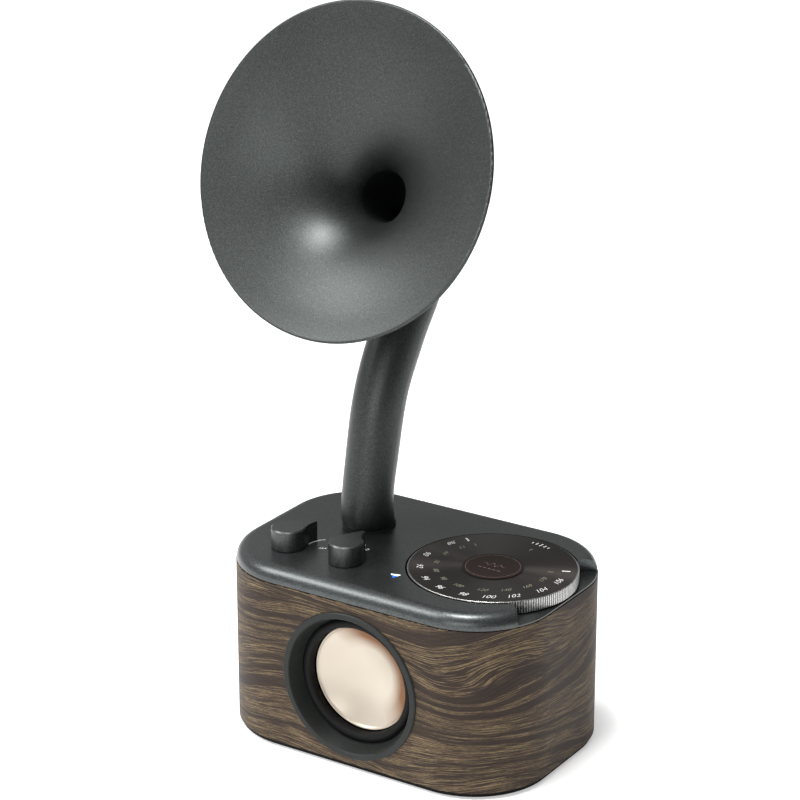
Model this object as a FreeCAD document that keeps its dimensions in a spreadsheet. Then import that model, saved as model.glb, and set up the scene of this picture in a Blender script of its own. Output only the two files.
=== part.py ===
import FreeCAD
import Part
import Sketcher
import math
import os
import re

# A table-top horn loudspeaker and radio: a round-cornered wooden cabinet with a driver in its front,
# a rolled metal top cover that carries two knobs and a large tuning dial, and a bent horn on top.
# Frame: X to the right along the front, Y to the back, Z up. The origin is the centre of the
# underside, on the plane the base pad rests on. Millimetres.

SIZES = {
    # cabinet and base
    "cabinet_width": 165, "cabinet_depth": 114, "cabinet_corner": 39, "cabinet_wall": 8,
    "cabinet_low": 3.2, "cabinet_top": 83.8,
    "pad_thick": 1, "pad_inset": 8.5, "plate_thick": 1.6, "plate_inset": 1.2,
    "shadow_gap": 0.6, "shadow_inset": 3, "plug_rise": 3, "plug_inset": 8.4,
    # top cover
    "gasket_thick": 0.5, "gasket_inset": 1, "cover_inset": 0.3, "deck_top": 91.3, "cover_roll": 6.4,
    "deck_thick": 2.5, "hollow_inset": 10.3, "hollow_right": -1.5, "skirt_inset": 8.4, "skirt_drop": 4,
    # tuning dial
    "dial_x": 42.1, "dial_y": 0.4, "dial_radius": 40, "dial_top": 91.8, "well_gap": 0.8, "well_floor": 85,
    "ring_low": 85.7, "ring_wall": 3, "face_thick": 0.8, "face_radius": 39.2, "knurl_depth": 0.35,
    "knurl_count": 200, "label_radius": 14.5, "label_thick": 0.3, "recess_angle": 46, "recess_reach": 62,
    "spindle_radius": 3, "spindle_low": 73, "hub_radius": 7, "hub_low": 87, "web_low": 88.8,
    "boss_radius": 26, "boss_drop": 2.5, "pot_bush": 5, "tuner_side": 22, "tuner_height": 11,
    # knobs
    "knob_x": -35.5, "knob_spread": 16.3, "knob_y": -30.5, "knob_radius": 8.25, "knob_height": 9.9,
    "knob_gap": 0.4, "beak_reach": 15, "beak_side": 56, "beak_hollow_side": 50, "beak_hollow": 1.3,
    "beak_tip": 0.8, "knob_chamfer": 0.6, "volume_angle": 63, "function_angle": 90,
    "shaft_radius": 3, "shaft_sink": 7.5,
    "shaft_low": 81, "bush_radius": 4.5, "control_radius": 8.5, "control_height": 9, "running_gap": 0.05,
    # horn
    "horn_x": -35.5, "neck_y": 13.7, "neck_base": 12.4, "neck_end": 13.9, "horn_wall": 1.6,
    "rim_y": -6.2, "rim_z": 270.8, "rim_radius": 78.3, "bell_tilt": 19.6,
    "joint_y": 27.9, "joint_z": 250.9, "joint_in": 15.8,
    "flare_power": 1.2, "bead_radius": 0.9, "neck_rise": 84.6, "bend_y": 59.2, "bend_z": 214.1,
    "bend_angle": 79.9, "bend_in": 27.7, "bend_out": 36.8, "collar_height": 1,
    "collar_radius": 12.9, "spigot_radius": 10, "spigot_bore": 8.4, "spigot_low": 79.3,
    "nut_across": 15, "nut_height": 4, "unit_radius": 16, "unit_height": 13, "unit_magnet": 14,
    "unit_magnet_height": 9,
    # front driver, measured outwards from the cabinet's front face
    "driver_z": 42.6, "opening_radius": 34.2, "bezel_radius": 36.5, "bezel_seat": 1.5, "bezel_proud": 1,
    "bezel_inner": 33.4, "bezel_throat": 30.9, "bezel_deep": 7.2, "flange_front": 8,
    "flange_radius": 36.2, "ear_reach": 37.5, "ear_radius": 4,
    "dish_radius": 25.2, "dish_front": 11.1, "dish_hollow": 7, "dish_thick": 0.5, "dish_edge": 25.9,
    "coil_radius": 12.5, "coil_wall": 0.4, "coil_low": 31, "spider_front": 22, "top_plate_front": 27,
    "magnet_front": 30, "magnet_back": 38, "back_plate_back": 41, "magnet_radius": 27,
    "surround_inner": 26.3, "surround_leg": 26.9, "surround_low": 10.4, "surround_seat": 8,
    "surround_crest": 1.6, "surround_skin": 0.7, "surround_foot": 29.8,
    "basket_inner": 29.6, "basket_neck": 25.5, "basket_wall": 1.5, "basket_bore": 14, "basket_floor": 1.2,
    "window_radius": 5, "window_reach": 29, "ledge_radius": 22.5, "ledge_drop": 0.8,
    "spider_bore": 13.3, "spider_rim": 24.2, "spider_skin": 0.4, "spider_wave": 0.8, "pole_radius": 11.8,
    # inside
    "board_length": 100, "board_width": 60, "board_low": 14, "board_thick": 1.6, "spacer_radius": 3,
    "rod_radius": 4, "rod_length": 80, "rod_y": 40, "rod_z": 66, "jack_width": 46, "jack_height": 24,
    "jack_z": 26, "jack_thick": 1.5, "screw_radius": 1.5, "screw_head": 2.6,
    # signal lamp beside the dial
    "lamp_angle": -136, "lamp_reach": 46.3, "lamp_size": 2.9, "window_thick": 2,
}

doc = FreeCAD.newDocument("horn_loudspeaker")
sheet = doc.addObject("Spreadsheet::Sheet", "Sizes")
for row, (alias, size) in enumerate(SIZES.items(), start=1):
    sheet.set("A%d" % row, alias)
    sheet.set("B%d" % row, str(size))
    sheet.setAlias("B%d" % row, alias)
doc.recompute()

NODES = []


def bound(text):
    """The text of an expression with every size named as a cell of the sheet."""
    def cell(found):
        word = found.group(0)
        return "Sizes." + word if word in SIZES else word

    return re.sub(r"[a-z]\w*", cell, str(text))


def number(text):
    """The value of an expression of sizes."""
    return float(sheet.evalExpression(str(text)))


def bind(thing, path, text):
    thing.setExpression(path, bound(text))


def place(thing, x=None, y=None, z=None):
    """Bind whichever coordinates of the object's position are given."""
    for axis, text in (("x", x), ("y", y), ("z", z)):
        if text is not None:
            bind(thing, "Placement.Base." + axis, text)


def node(thing, label):
    """Take an object as a finished piece of the loudspeaker, under the name of its file."""
    thing.Label = label
    NODES.append(thing)
    return thing


# ---- sketches -----------------------------------------------------------------------------------

def new_body(label):
    return node(doc.addObject("PartDesign::Body", label), label)


def new_sketch(body, role="XY_Plane", offset="0"):
    """A sketch on one of the body's own origin planes, lifted off it by the offset."""
    sketch = body.newObject("Sketcher::SketchObject", body.Name + "_sketch")
    plane = [item for item in body.Origin.OriginFeatures if item.Role == role][0]
    sketch.AttachmentSupport = [(plane, "")]
    sketch.MapMode = "FlatFace"
    bind(sketch, "AttachmentOffset.Base.z", offset)
    return sketch


def hold(sketch, kind, *where):
    """Add a dimension; the last entry is its expression."""
    text = where[-1]
    index = sketch.addConstraint(Sketcher.Constraint(kind, *where[:-1], number(text)))
    bind(sketch, "Constraints[%d]" % index, text)


def hold_point(sketch, item, end, x, y):
    hold(sketch, "DistanceX", item, end, x)
    hold(sketch, "DistanceY", item, end, y)


def draw_circle(sketch, radius, x="0", y="0"):
    centre = FreeCAD.Vector(number(x), number(y), 0)
    item = sketch.addGeometry(Part.Circle(centre, FreeCAD.Vector(0, 0, 1), number(radius)))
    hold(sketch, "Radius", item, radius)
    if (x, y) == ("0", "0"):
        sketch.addConstraint(Sketcher.Constraint("Coincident", item, 3, -1, 1))
    else:
        hold_point(sketch, item, 3, x, y)


def draw_bulge(sketch, start, stop, bulge):
    """An arc that stands off its chord by the bulge, to the left if positive. The sketcher's arcs run
    anticlockwise, so one that bulges left runs from stop to start. Returns the item and its two ends."""
    chord = stop - start
    left = FreeCAD.Vector(-chord.y, chord.x, 0).normalize()
    radius = (chord.Length ** 2 / 4 + bulge ** 2) / (2 * abs(bulge))
    centre = (start + stop) * 0.5 - left * math.copysign(radius - abs(bulge), bulge)
    first, last = (stop, start) if bulge > 0 else (start, stop)
    angles = [math.atan2(point.y - centre.y, point.x - centre.x) for point in (first, last)]
    if angles[1] < angles[0]:
        angles[1] += 2 * math.pi
    circle = Part.Circle(centre, FreeCAD.Vector(0, 0, 1), radius)
    item = sketch.addGeometry(Part.ArcOfCircle(circle, angles[0], angles[1]))
    return (item, 2, 1) if bulge > 0 else (item, 1, 2)


def draw_outline(sketch, corners):
    """A closed outline. A corner is (x, y), or (x, y, bulge) where the side that leaves it is an arc
    standing that far to the left of its chord."""
    points = [FreeCAD.Vector(number(corner[0]), number(corner[1]), 0) for corner in corners]
    ends = []
    for index, corner in enumerate(corners):
        start = points[index]
        stop = points[(index + 1) % len(points)]
        if len(corner) == 2:
            item = sketch.addGeometry(Part.LineSegment(start, stop))
            ends.append((item, 1, 2))
            continue
        ends.append(draw_bulge(sketch, start, stop, number(corner[2])))
    for index, (item, first, last) in enumerate(ends):
        following = ends[(index + 1) % len(ends)]
        sketch.addConstraint(Sketcher.Constraint("Coincident", item, last, following[0], following[1]))
        hold_point(sketch, item, first, corners[index][0], corners[index][1])
    for index, corner in enumerate(corners):
        if len(corner) == 3:
            beyond = corners[(index + 1) % len(corners)]
            chord = "(((%s) - (%s))^2 + ((%s) - (%s))^2)" % (beyond[0], corner[0], beyond[1], corner[1])
            hold(sketch, "Radius", ends[index][0], "(%s / 4 + (%s)^2) / (2 * abs(%s))" % (chord, corner[2], corner[2]))


def draw_round_rectangle(sketch, left, right, front, back, corner):
    """A rectangle with four round corners, tangent all the way round."""
    x0, x1, y0, y1, radius = [number(text) for text in (left, right, front, back, corner)]
    sides = [((x0 + radius, y0), (x1 - radius, y0)), ((x1, y0 + radius), (x1, y1 - radius)),
             ((x1 - radius, y1), (x0 + radius, y1)), ((x0, y1 - radius), (x0, y0 + radius))]
    lines = [sketch.addGeometry(Part.LineSegment(FreeCAD.Vector(*a, 0), FreeCAD.Vector(*b, 0))) for a, b in sides]
    centres = [(x1 - radius, y0 + radius), (x1 - radius, y1 - radius),
               (x0 + radius, y1 - radius), (x0 + radius, y0 + radius)]
    arcs = []
    for index, centre in enumerate(centres):
        circle = Part.Circle(FreeCAD.Vector(*centre, 0), FreeCAD.Vector(0, 0, 1), radius)
        start = math.radians(90 * index - 90)
        arcs.append(sketch.addGeometry(Part.ArcOfCircle(circle, start, start + math.pi / 2)))
    for index in range(4):
        sketch.addConstraint(Sketcher.Constraint("Tangent", lines[index], 2, arcs[index], 1))
        sketch.addConstraint(Sketcher.Constraint("Tangent", arcs[index], 2, lines[(index + 1) % 4], 1))
    sketch.addConstraint(Sketcher.Constraint("Horizontal", lines[0]))
    sketch.addConstraint(Sketcher.Constraint("Vertical", lines[1]))
    for index in (1, 2, 3):
        sketch.addConstraint(Sketcher.Constraint("Equal", arcs[0], arcs[index]))
    hold(sketch, "Radius", arcs[0], corner)
    hold(sketch, "DistanceY", lines[0], 1, front)
    hold(sketch, "DistanceX", lines[1], 1, right)
    hold(sketch, "DistanceY", lines[2], 1, back)
    hold(sketch, "DistanceX", lines[3], 1, left)


def draw_footprint(sketch, inset):
    """The cabinet's plan outline, moved inwards by the inset."""
    draw_round_rectangle(sketch, "-cabinet_width / 2 + %s" % inset, "cabinet_width / 2 - %s" % inset,
                         "-cabinet_depth / 2 + %s" % inset, "cabinet_depth / 2 - %s" % inset,
                         "cabinet_corner - %s" % inset)


def draw_rectangle(sketch, left, right, low, high):
    draw_outline(sketch, [(left, low), (right, low), (right, high), (left, high)])


# ---- features -----------------------------------------------------------------------------------

def pad(body, sketch, length, down=False):
    feature = body.newObject("PartDesign::Pad", body.Name + "_pad")
    feature.Profile = sketch
    bind(feature, "Length", length)
    feature.Reversed = down
    return feature


def pocket(body, sketch, length, up=False):
    feature = body.newObject("PartDesign::Pocket", body.Name + "_pocket")
    feature.Profile = sketch
    bind(feature, "Length", length)
    feature.Reversed = up
    return feature


def turned(label, corners):
    """A body turned about its own Z axis from an outline of (radius, height) corners."""
    body = new_body(label)
    sketch = new_sketch(body, "XZ_Plane")
    draw_outline(sketch, corners)
    feature = body.newObject("PartDesign::Revolution", label + "_turn")
    feature.Profile = sketch
    feature.ReferenceAxis = (sketch, ["V_Axis"])
    feature.Angle = 360
    return body


def ring(label, outer, inner, low, high):
    return turned(label, [(inner, low), (outer, low), (outer, high), (inner, high)])


def disc(label, radius, low, high):
    return turned(label, [("0", low), (radius, low), (radius, high), ("0", high)])


def edges_at_height(shape, height):
    """Names of the edges that lie wholly at one height."""
    names = []
    for index, edge in enumerate(shape.Edges, start=1):
        box = edge.BoundBox
        if abs(box.ZMin - height) < 1e-4 and abs(box.ZMax - height) < 1e-4:
            names.append("Edge%d" % index)
    return names


def soften(body, kind, base, names, size, path):
    feature = body.newObject("PartDesign::" + kind, body.Name + "_" + kind.lower())
    feature.Base = (base, names)
    bind(feature, path, size)
    return feature


def box(label, width, depth, height, x, y, z):
    """A plain block from its left front lower corner."""
    thing = doc.addObject("Part::Box", label)
    bind(thing, "Length", width)
    bind(thing, "Width", depth)
    bind(thing, "Height", height)
    place(thing, x, y, z)
    return thing


def cylinder(label, radius, height, x="0", y="0", z="0", lean=None):
    """A plain cylinder; lean is the rotation that takes it off the vertical."""
    thing = doc.addObject("Part::Cylinder", label)
    bind(thing, "Radius", radius)
    bind(thing, "Height", height)
    if lean is not None:
        thing.Placement = FreeCAD.Placement(FreeCAD.Vector(), lean)
    place(thing, x, y, z)
    return thing


def cut(base, tool, label):
    thing = doc.addObject("Part::Cut", label)
    thing.Base = base
    thing.Tool = tool
    return thing


def fuse(things, label):
    thing = doc.addObject("Part::MultiFuse", label)
    thing.Shapes = things
    return thing


def group(things, label):
    """Separate solids kept as one piece's group."""
    thing = doc.addObject("Part::Compound", label)
    thing.Links = things
    return thing


TO_FRONT = FreeCAD.Rotation(FreeCAD.Vector(1, 0, 0), 90)
TO_RIGHT = FreeCAD.Rotation(FreeCAD.Vector(0, 1, 0), 90)
DEGREE = "1deg"

# ---- base and cabinet ---------------------------------------------------------------------------

SCREW_SPOTS = [(sx, sy) for sx in (-1, 1) for sy in (-1, 1)]
SCREW_X = "(cabinet_width / 4)"
SCREW_Y = "(cabinet_depth / 2 - cabinet_wall / 2)"
PLATE_LOW = "pad_thick"

base_pad = new_body("base_pad")
base_sketch = new_sketch(base_pad)
draw_footprint(base_sketch, "pad_inset")
pad(base_pad, base_sketch, "pad_thick")

base_plate = new_body("base_plate")
for inset, low, height in (("plate_inset", PLATE_LOW, "plate_thick"),
                           ("shadow_inset", "pad_thick + plate_thick", "shadow_gap"),
                           ("plug_inset", "cabinet_low", "plug_rise")):
    step_sketch = new_sketch(base_plate, offset=low)
    draw_footprint(step_sketch, inset)
    pad(base_plate, step_sketch, height)
for radius, height in (("screw_radius", "cabinet_low"), ("screw_head", "screw_head - screw_radius")):
    hole_sketch = new_sketch(base_plate, offset=PLATE_LOW)
    for side_x, side_y in SCREW_SPOTS:
        draw_circle(hole_sketch, radius, "%d * %s" % (side_x, SCREW_X), "%d * %s" % (side_y, SCREW_Y))
    pocket(base_plate, hole_sketch, height, up=True)

cabinet_shell = new_body("cabinet_shell")
wall_sketch = new_sketch(cabinet_shell, offset="cabinet_low")
draw_footprint(wall_sketch, "0")
pad(cabinet_shell, wall_sketch, "cabinet_top - cabinet_low")
room_sketch = new_sketch(cabinet_shell, offset="cabinet_top")
draw_footprint(room_sketch, "cabinet_wall")
pocket(cabinet_shell, room_sketch, "cabinet_top - cabinet_low")
for radius, depth in (("opening_radius", "cabinet_wall"), ("bezel_radius + 0.1", "bezel_seat")):
    mouth_sketch = new_sketch(cabinet_shell, "XZ_Plane", "cabinet_depth / 2")
    draw_circle(mouth_sketch, radius, "0", "driver_z")
    pocket(cabinet_shell, mouth_sketch, depth)
back_sketch = new_sketch(cabinet_shell, "XZ_Plane", "-cabinet_depth / 2 + cabinet_wall")
draw_rectangle(back_sketch, "-jack_width / 2 + 5", "jack_width / 2 - 5",
               "jack_z - jack_height / 2 + 4", "jack_z + jack_height / 2 - 4")
pocket(cabinet_shell, back_sketch, "cabinet_wall")
thread_sketch = new_sketch(cabinet_shell, offset="cabinet_low")
for side_x, side_y in SCREW_SPOTS:
    draw_circle(thread_sketch, "screw_radius", "%d * %s" % (side_x, SCREW_X), "%d * %s" % (side_y, SCREW_Y))
pocket(cabinet_shell, thread_sketch, "12", up=True)


def screws(label, spots, low, length, lean=None):
    """A group of round-headed screws; each stands head down at its spot, or head first along the lean."""
    pieces = []
    for index, (x, y, z) in enumerate(spots, start=1):
        body = turned("%s_%d" % (label, index),
                      [("0", "0"), ("screw_head", "0"), ("screw_head", "screw_head - screw_radius"),
                       ("screw_radius", "screw_head - screw_radius"), ("screw_radius", length), ("0", length)])
        NODES.remove(body)
        if lean is not None:
            body.Placement = FreeCAD.Placement(FreeCAD.Vector(), lean)
        place(body, x, y, z)
        pieces.append(body)
    return node(group(pieces, label), label)


screws("base_screws", [("%d * %s" % (sx, SCREW_X), "%d * %s" % (sy, SCREW_Y), PLATE_LOW) for sx, sy in SCREW_SPOTS],
       PLATE_LOW, "14")

# ---- top cover ----------------------------------------------------------------------------------

seam_gasket = new_body("seam_gasket")
seam_sketch = new_sketch(seam_gasket, offset="cabinet_top")
draw_footprint(seam_sketch, "gasket_inset")
draw_footprint(seam_sketch, "cabinet_wall")
pad(seam_gasket, seam_sketch, "gasket_thick")

COVER_LOW = "(cabinet_top + gasket_thick)"
top_cover = new_body("top_cover")
cover_sketch = new_sketch(top_cover, offset=COVER_LOW)
draw_footprint(cover_sketch, "cover_inset")
cover_pad = pad(top_cover, cover_sketch, "deck_top - %s" % COVER_LOW)
doc.recompute()
rolled_edges = edges_at_height(cover_pad.Shape, number("deck_top"))
soften(top_cover, "Fillet", cover_pad, rolled_edges, "cover_roll", "Radius")
skirt_sketch = new_sketch(top_cover, offset=COVER_LOW)
draw_footprint(skirt_sketch, "skirt_inset")
draw_footprint(skirt_sketch, "hollow_inset")
pad(top_cover, skirt_sketch, "skirt_drop", down=True)
boss_sketch = new_sketch(top_cover, offset=COVER_LOW)
draw_circle(boss_sketch, "boss_radius", "dial_x", "dial_y")
pad(top_cover, boss_sketch, "boss_drop", down=True)
hollow_sketch = new_sketch(top_cover, offset=COVER_LOW)
draw_round_rectangle(hollow_sketch, "-cabinet_width / 2 + hollow_inset", "hollow_right",
                     "-cabinet_depth / 2 + hollow_inset", "cabinet_depth / 2 - hollow_inset",
                     "cabinet_corner - hollow_inset")
pocket(top_cover, hollow_sketch, "deck_top - deck_thick - %s" % COVER_LOW, up=True)
well_sketch = new_sketch(top_cover, offset="deck_top")
draw_circle(well_sketch, "dial_radius + well_gap", "dial_x", "dial_y")
pocket(top_cover, well_sketch, "deck_top - well_floor")
recess_sketch = new_sketch(top_cover, offset="deck_top")
recess_x = "dial_x + recess_reach * cos(recess_angle * %s)" % DEGREE
recess_y = "recess_reach * sin(recess_angle * %s)" % DEGREE
draw_outline(recess_sketch, [("dial_x", "dial_y"), (recess_x, "dial_y - " + recess_y),
                             (recess_x, "dial_y + " + recess_y)])
pocket(top_cover, recess_sketch, "deck_top - well_floor")
hole_sketch = new_sketch(top_cover, offset="deck_top")
for side in (-1, 1):
    draw_circle(hole_sketch, "bush_radius + 0.1", "knob_x + %d * knob_spread" % side, "knob_y")
draw_circle(hole_sketch, "spigot_radius", "horn_x", "neck_y")
draw_circle(hole_sketch, "pot_bush", "dial_x", "dial_y")
pocket(top_cover, hole_sketch, "deck_top - cabinet_top + boss_drop + 1")


def lamp_corner(turn):
    """One corner of the small triangular lamp window; its point is towards the dial."""
    angle = "((lamp_angle + 180 + %d) * %s)" % (turn, DEGREE)
    return ("dial_x + lamp_reach * cos(lamp_angle * %s) + lamp_size * cos(%s)" % (DEGREE, angle),
            "dial_y + lamp_reach * sin(lamp_angle * %s) + lamp_size * sin(%s)" % (DEGREE, angle))


LAMP_OUTLINE = [lamp_corner(turn) for turn in (0, 120, 240)]
lamp_sketch = new_sketch(top_cover, offset="deck_top")
draw_outline(lamp_sketch, LAMP_OUTLINE)
pocket(top_cover, lamp_sketch, "deck_top - %s" % COVER_LOW)

led_window = new_body("led_window")
window_sketch = new_sketch(led_window, offset="deck_top")
draw_outline(window_sketch, LAMP_OUTLINE)
pad(led_window, window_sketch, "window_thick", down=True)
led_lamp = disc("led_lamp", "1.3", "0", "8")
place(led_lamp, "dial_x + lamp_reach * cos(lamp_angle * %s)" % DEGREE,
      "dial_y + lamp_reach * sin(lamp_angle * %s)" % DEGREE, "deck_top - window_thick - 8")

# ---- tuning dial --------------------------------------------------------------------------------

def at_dial(body):
    place(body, "dial_x", "dial_y")
    return body


knurl_count = int(SIZES["knurl_count"])
outer = number("dial_radius")
root = number("dial_radius - knurl_depth")
teeth = []
for index in range(2 * knurl_count + 1):
    angle = math.pi * index / knurl_count
    reach = outer if index % 2 else root
    teeth.append(FreeCAD.Vector(reach * math.cos(angle), reach * math.sin(angle), number("ring_low")))
teeth[-1] = teeth[0]
RING_TOP = "(dial_top - 0.4)"
up = FreeCAD.Vector(0, 0, 1)
ring_height = number("%s - ring_low" % RING_TOP)
ring_shape = Part.Face(Part.makePolygon(teeth)).extrude(up * ring_height)
ring_shape = ring_shape.cut(Part.makeCylinder(number("dial_radius - ring_wall"), ring_height + 2,
                                              FreeCAD.Vector(0, 0, number("ring_low") - 1)))
ring_shape = ring_shape.cut(Part.makeCylinder(number("face_radius"), 5,
                                              FreeCAD.Vector(0, 0, number("dial_top - face_thick"))))
dial_ring = node(doc.addObject("Part::Feature", "dial_ring"), "dial_ring")
dial_ring.Shape = ring_shape
at_dial(dial_ring)

at_dial(disc("dial_face", "face_radius", "dial_top - face_thick", "dial_top"))
at_dial(disc("dial_label", "label_radius", "dial_top", "dial_top + label_thick"))
at_dial(turned("dial_hub", [("spindle_radius", "hub_low"), ("hub_radius", "hub_low"), ("hub_radius", "web_low"),
                            ("dial_radius - ring_wall", "web_low"),
                            ("dial_radius - ring_wall", "dial_top - face_thick"),
                            ("spindle_radius", "dial_top - face_thick")]))
at_dial(disc("dial_spindle", "spindle_radius", "spindle_low", "dial_top - face_thick"))

TUNER_TOP = "(cabinet_top + gasket_thick - boss_drop)"
tuner_box = box("tuner_box", "tuner_side", "tuner_side", "tuner_height", "dial_x - tuner_side / 2",
                "dial_y - tuner_side / 2", "%s - tuner_height" % TUNER_TOP)
tuner_bush = cylinder("tuner_bush", "pot_bush - 0.1", "well_floor - %s" % TUNER_TOP, "dial_x", "dial_y", TUNER_TOP)
tuner_bore = cylinder("tuner_bore", "spindle_radius + running_gap", "40", "dial_x", "dial_y", "spindle_low - 0.5")
node(cut(fuse([tuner_box, tuner_bush], "tuner_solid"), tuner_bore, "tuning_pot"), "tuning_pot")

# ---- knobs, their shafts and controls -----------------------------------------------------------

CONTROL_TOP = "(deck_top - deck_thick)"
KNOB_BITE = "0.02"


def knob(label, side, turn):
    """A round knob with a beak: straight on one flank, hollow on the other."""
    body = new_body(label)
    round_sketch = new_sketch(body, offset="knob_gap")
    draw_circle(round_sketch, "knob_radius")
    round_pad = pad(body, round_sketch, "knob_height")
    doc.recompute()
    top_edges = edges_at_height(round_pad.Shape, number("knob_gap + knob_height"))
    soften(body, "Chamfer", round_pad, top_edges, "knob_chamfer", "Size")
    beak_sketch = new_sketch(body, offset="knob_gap")
    flank = "(knob_radius - %s)" % KNOB_BITE
    hollow = ("%s * cos(beak_hollow_side * %s)" % (flank, DEGREE), "-%s * sin(beak_hollow_side * %s)" % (flank, DEGREE))
    straight = ("%s * cos(beak_side * %s)" % (flank, DEGREE), "%s * sin(beak_side * %s)" % (flank, DEGREE))
    draw_outline(beak_sketch, [("0", "0"), hollow + ("beak_hollow",), ("beak_reach", "-beak_tip"),
                               ("beak_reach", "beak_tip"), straight])
    pad(body, beak_sketch, "knob_height - knob_chamfer / 2")
    bore_sketch = new_sketch(body, offset="knob_gap")
    draw_circle(bore_sketch, "shaft_radius")
    pocket(body, bore_sketch, "shaft_sink", up=True)
    body.Placement = FreeCAD.Placement(FreeCAD.Vector(), FreeCAD.Rotation(up, number(turn)))
    place(body, "knob_x + %d * knob_spread" % side, "knob_y", "deck_top")
    return body


def control(label, shaft_label, side, lug_count):
    """A rotary control hung under the deck, with its threaded bush through the deck and its shaft."""
    x = "knob_x + %d * knob_spread" % side
    shaft = disc(shaft_label, "shaft_radius", "shaft_low", "deck_top + knob_gap + shaft_sink")
    place(shaft, x, "knob_y")
    can = cylinder(label + "_can", "control_radius", "control_height", x, "knob_y", "%s - control_height" % CONTROL_TOP)
    bush = cylinder(label + "_bush", "bush_radius", "deck_thick", x, "knob_y", CONTROL_TOP)
    lugs = []
    for index in range(lug_count):
        spread = (index - (lug_count - 1) / 2) * 3
        lugs.append(box("%s_lug_%d" % (label, index), "1.6", "6.5", "0.6", "%s + %g - 0.8" % (x, spread),
                        "knob_y + control_radius - 3", "%s - control_height + 1" % CONTROL_TOP))
    bore = cylinder(label + "_bore", "shaft_radius + running_gap", "40", x, "knob_y", "shaft_low - 0.5")
    return node(cut(fuse([can, bush] + lugs, label + "_solid"), bore, label), label)


knob("volume_knob", -1, "volume_angle")
control("volume_pot", "volume_shaft", -1, 3)
knob("function_knob", 1, "function_angle")
control("function_switch", "function_shaft", 1, 4)

# ---- horn ---------------------------------------------------------------------------------------
# The horn's centreline lies in the plane x = horn_x. It leaves the deck upright, leans back to the
# bend, and comes forward to the joint, where the bell takes over and carries it up to the rim.

tilt = math.radians(number("bell_tilt"))
rim_way = FreeCAD.Vector(0, -math.cos(tilt), math.sin(tilt))
rim_centre = FreeCAD.Vector(number("horn_x"), number("rim_y"), number("rim_z"))
joint_point = FreeCAD.Vector(number("horn_x"), number("joint_y"), number("joint_z"))
base_point = FreeCAD.Vector(number("horn_x"), number("neck_y"), number("deck_top + collar_height"))
bend_point = FreeCAD.Vector(number("horn_x"), number("bend_y"), number("bend_z"))
bend_turn = math.radians(number("bend_angle"))
bend_way = FreeCAD.Vector(0, math.cos(bend_turn), math.sin(bend_turn))


def bezier(a, b, c, d, share):
    rest = 1 - share
    return a * rest ** 3 + b * (3 * rest ** 2 * share) + c * (3 * rest * share ** 2) + d * share ** 3


def bezier_way(a, b, c, d, share):
    rest = 1 - share
    return ((b - a) * rest ** 2 + (c - b) * (2 * rest * share) + (d - c) * share ** 2).normalize()


lower = (base_point, base_point + up * number("neck_rise"),
         bend_point - bend_way * number("bend_in"), bend_point)
upper = (bend_point, bend_point + bend_way * number("bend_out"),
         joint_point - rim_way * number("joint_in"), joint_point)
STEPS = 7
stations = [(bezier(*lower, i / STEPS), bezier_way(*lower, i / STEPS)) for i in range(STEPS)]
stations += [(bezier(*upper, i / STEPS), bezier_way(*upper, i / STEPS)) for i in range(STEPS + 1)]
travel = [0]
for (here, _), (there, _) in zip(stations, stations[1:]):
    travel.append(travel[-1] + here.distanceToPoint(there))


def neck_solid(inset):
    wires = []
    for (point, way), run in zip(stations, travel):
        radius = number("neck_base") + (number("neck_end") - number("neck_base")) * run / travel[-1] - inset
        wires.append(Part.Wire(Part.Circle(point, way, radius).toShape()))
    return Part.makeLoft(wires, True, False)


neck_shape = neck_solid(0).cut(neck_solid(number("horn_wall")))
spigot_height = number("deck_top + collar_height - spigot_low")
spigot_foot = FreeCAD.Vector(number("horn_x"), number("neck_y"), number("spigot_low"))
floor_thick = 2 * number("horn_wall")
below = Part.makeCylinder(2 * number("neck_base"), floor_thick, base_point - up * floor_thick)
neck_shape = neck_shape.cut(below).fuse([
    Part.makeCylinder(number("spigot_radius"), spigot_height, spigot_foot),
    Part.makeCylinder(number("neck_base - horn_wall / 2"), floor_thick, base_point)])
bore_height = spigot_height + 2 * floor_thick
neck_shape = neck_shape.cut(Part.makeCylinder(number("spigot_bore"), bore_height, spigot_foot - up))
horn_neck = node(doc.addObject("Part::Feature", "horn_neck"), "horn_neck")
horn_neck.Shape = neck_shape
horn_neck.Placement = FreeCAD.Placement()

# The bell opens from the joint to the rim, its radius growing faster the nearer the rim. Its
# sections stay parallel to the rim while their centres sink towards the joint.
FLARE_STEPS = 12
bell_run = (rim_centre - joint_point).dot(rim_way)
bell_sink = joint_point + rim_way * bell_run - rim_centre
growth = number("rim_radius - bead_radius") / number("neck_end")
power = number("flare_power")
wall = number("horn_wall")
outside = []
inside = []
for index in range(FLARE_STEPS + 1):
    share = index / FLARE_STEPS
    easing = 1 - share ** 2 * (3 - 2 * share)
    centre = rim_centre + rim_way * (bell_run * (share - 1)) + bell_sink * easing
    radius = number("neck_end") * growth ** (share ** power)
    slope = math.atan(radius * math.log(growth) * power * share ** (power - 1) / bell_run) if index else 0
    outside.append(Part.Circle(centre, rim_way, radius))
    inside.append(Part.Circle(centre + rim_way * (wall * math.sin(slope)), rim_way,
                              radius - wall * math.cos(slope)))


def loft(circles):
    """A solid drawn smoothly through a row of circles."""
    return Part.makeLoft([Part.Wire(circle.toShape()) for circle in circles], True, False)


bell_shape = loft(outside).fuse(loft([outside[-1], inside[-1]])).cut(loft(inside))
bead_centre = (outside[-1].Center + inside[-1].Center) / 2
bell_shape = bell_shape.fuse(
    Part.makeTorus(number("rim_radius - bead_radius"), number("bead_radius"), bead_centre, rim_way))
horn_bell = node(doc.addObject("Part::Feature", "horn_bell"), "horn_bell")
horn_bell.Shape = bell_shape
horn_bell.Placement = FreeCAD.Placement()


def at_neck(body):
    place(body, "horn_x", "neck_y")
    return body


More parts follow.
